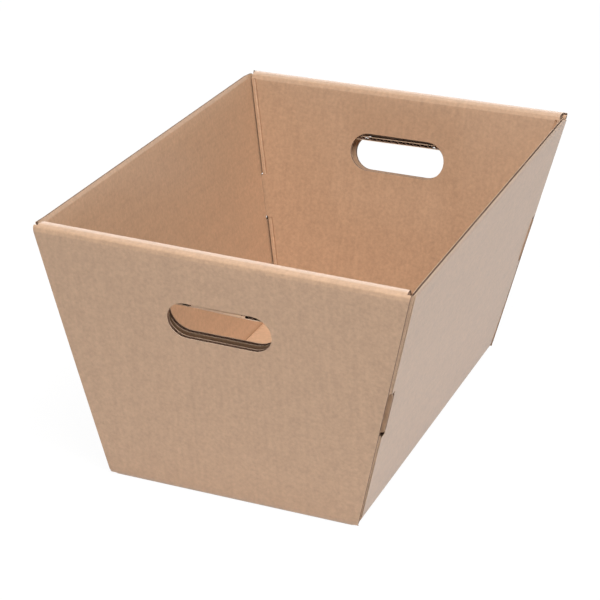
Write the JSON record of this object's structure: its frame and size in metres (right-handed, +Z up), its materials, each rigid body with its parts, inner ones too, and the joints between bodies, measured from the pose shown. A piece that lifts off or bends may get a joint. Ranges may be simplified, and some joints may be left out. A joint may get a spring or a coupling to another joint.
{
  "type": "corrugated tote",
  "caption": "Open tapered tote folded from one sheet of corrugated board, with rolled double-wall ends, hand holes and locking tabs, for carrying mail and small goods.",
  "frame": {"origin": "middle of the underside of the floor", "axes": "+X across the ends, +Y from the front end to the back end, +Z up out of the open top"},
  "size_m": [0.344, 0.4894, 0.245],
  "materials": {
    "kraft_board": "matte"
  },
  "bodies": {
    "root": {"folded_tote": "kraft_board"}
  },
  "joints": []
}
